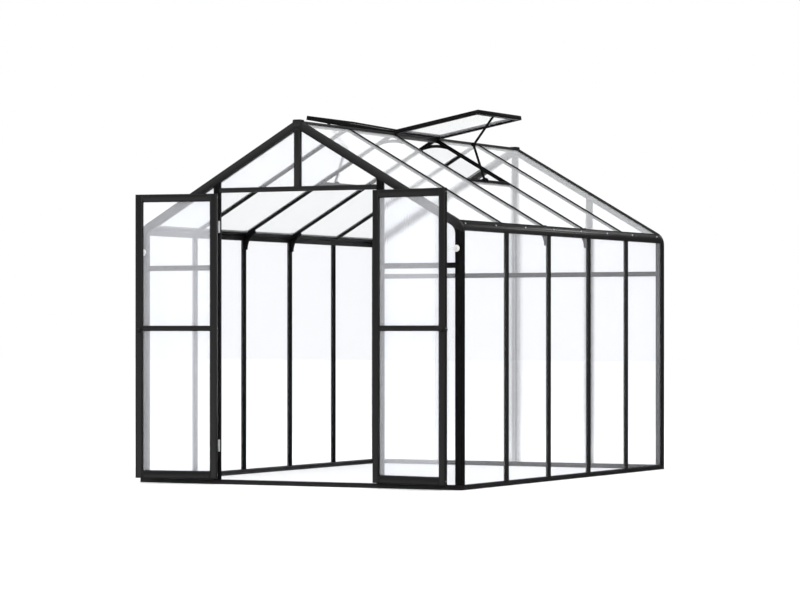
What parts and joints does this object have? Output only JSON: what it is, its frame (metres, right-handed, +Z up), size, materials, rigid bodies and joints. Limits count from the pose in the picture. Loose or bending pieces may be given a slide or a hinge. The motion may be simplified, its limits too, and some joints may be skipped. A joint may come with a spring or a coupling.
{
  "type": "polycarbonate greenhouse",
  "caption": "Gabled walk-in greenhouse: slim dark aluminium frame glazed with clear twin-wall sheet, double front doors standing open and a raised vent in each roof slope.",
  "frame": {"origin": "middle of the underside of the front sill, in the doorway, at ground level", "axes": "+X across the front gable to the right seen from outside, +Y from the front gable to the rear gable, +Z up"},
  "size_m": [2.44, 3.6501, 2.5722],
  "materials": {
    "frame_black": "satin black powder coat on aluminium",
    "twin_wall_sheet": "clear twin-wall polycarbonate with fine upright flutes",
    "hinge_metal": "bright zinc plate",
    "hold_back_plastic": "white moulded plastic",
    "knob_plastic": "black moulded plastic"
  },
  "bodies": {
    "house": {"front_sill": "frame_black", "rear_sill": "frame_black", "side_sills": "frame_black", "front_corner_posts": "frame_black", "rear_corner_posts": "frame_black", "left_wall_mullions": "frame_black", "right_wall_mullions": "frame_black", "left_eave_beam": "frame_black", "right_eave_beam": "frame_black", "door_jambs": "frame_black", "door_header": "frame_black", "front_king_post": "frame_black", "front_mid_rails": "frame_black", "front_left_rafter": "frame_black", "front_right_rafter": "frame_black", "rear_left_rafter": "frame_black", "rear_right_rafter": "frame_black", "rear_posts": "frame_black", "rear_mid_rails": "frame_black", "ridge_beam": "frame_black", "roof_bars": "frame_black", "gable_corner_brackets": "frame_black", "knee_braces": "frame_black", "ridge_arches": "frame_black", "vent_cross_rails": "frame_black", "left_vent_sash": "frame_black", "right_vent_sash": "frame_black", "vent_sheets": "twin_wall_sheet", "vent_openers": "frame_black", "left_wall_sheets": "twin_wall_sheet", "right_wall_sheets": "twin_wall_sheet", "front_sheets": "twin_wall_sheet", "rear_sheets": "twin_wall_sheet", "left_roof_sheets": "twin_wall_sheet", "right_roof_sheets": "twin_wall_sheet", "frame_hinge_halves": "hinge_metal", "hold_backs": "hold_back_plastic"},
    "left_door": {"left_door_frame": "frame_black", "left_door_sheets": "twin_wall_sheet", "left_door_hinge_halves": "hinge_metal", "left_door_knobs": "knob_plastic"},
    "right_door": {"right_door_frame": "frame_black", "right_door_sheets": "twin_wall_sheet", "right_door_hinge_halves": "hinge_metal", "right_door_knobs": "knob_plastic"}
  },
  "joints": [
    {"name": "left_door_hinge", "type": "hinge", "parent": "house", "child": "left_door", "pos_m": [-0.5935, -0.0325, 0.98], "axis": [0, 0, 1], "range_deg": [0, 170]},
    {"name": "right_door_hinge", "type": "hinge", "parent": "house", "child": "right_door", "pos_m": [0.5935, -0.0325, 0.98], "axis": [0, 0, -1], "range_deg": [0, 170]}
  ]
}
